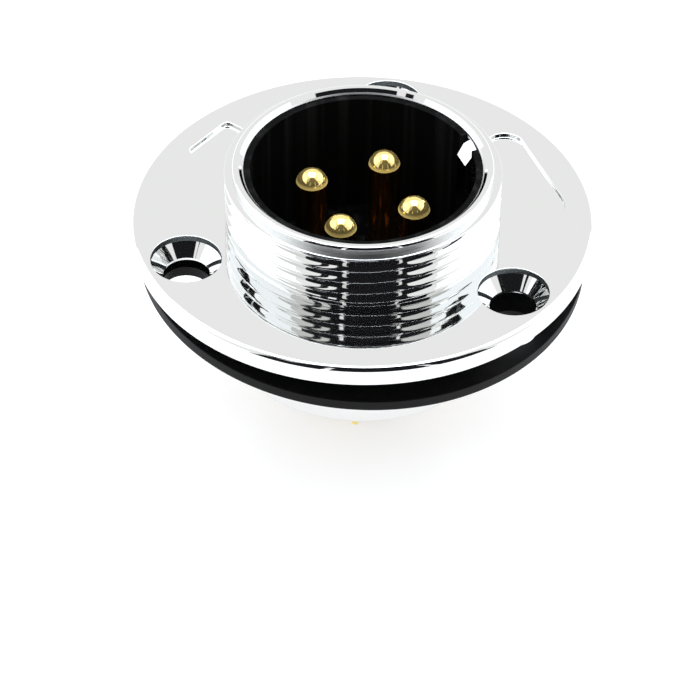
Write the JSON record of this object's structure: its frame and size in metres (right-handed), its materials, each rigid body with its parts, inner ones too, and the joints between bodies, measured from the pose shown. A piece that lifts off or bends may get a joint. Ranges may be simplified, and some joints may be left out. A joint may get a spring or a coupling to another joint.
{
  "type": "panel-mount circular power connector",
  "caption": "Panel-mount circular power connector: chromed shell with round screw flange and threaded front barrel, keyed male contacts in a black insulator, solder cups and rubber gasket",
  "frame": {"origin": "on the barrel's axis, in the plane of the flange's underside, which faces the panel", "axes": "+Z along the barrel to the mating side, +Y through the polarising key"},
  "size_m": [0.04, 0.04, 0.0255],
  "materials": {
    "chrome_shell": "bright chrome plate on a zinc die-casting",
    "black_rubber": "matt",
    "black_moulding": "smooth moulded",
    "spring_steel": "plain",
    "gold_plate": "bright gold plate on turned brass"
  },
  "bodies": {
    "root": {"shell": "chrome_shell", "gasket": "black_rubber", "front_insulator": "black_moulding", "rear_insulator": "black_moulding", "snap_ring": "spring_steel", "contact_1": "gold_plate", "contact_2": "gold_plate", "contact_3": "gold_plate", "contact_4": "gold_plate"}
  },
  "joints": []
}
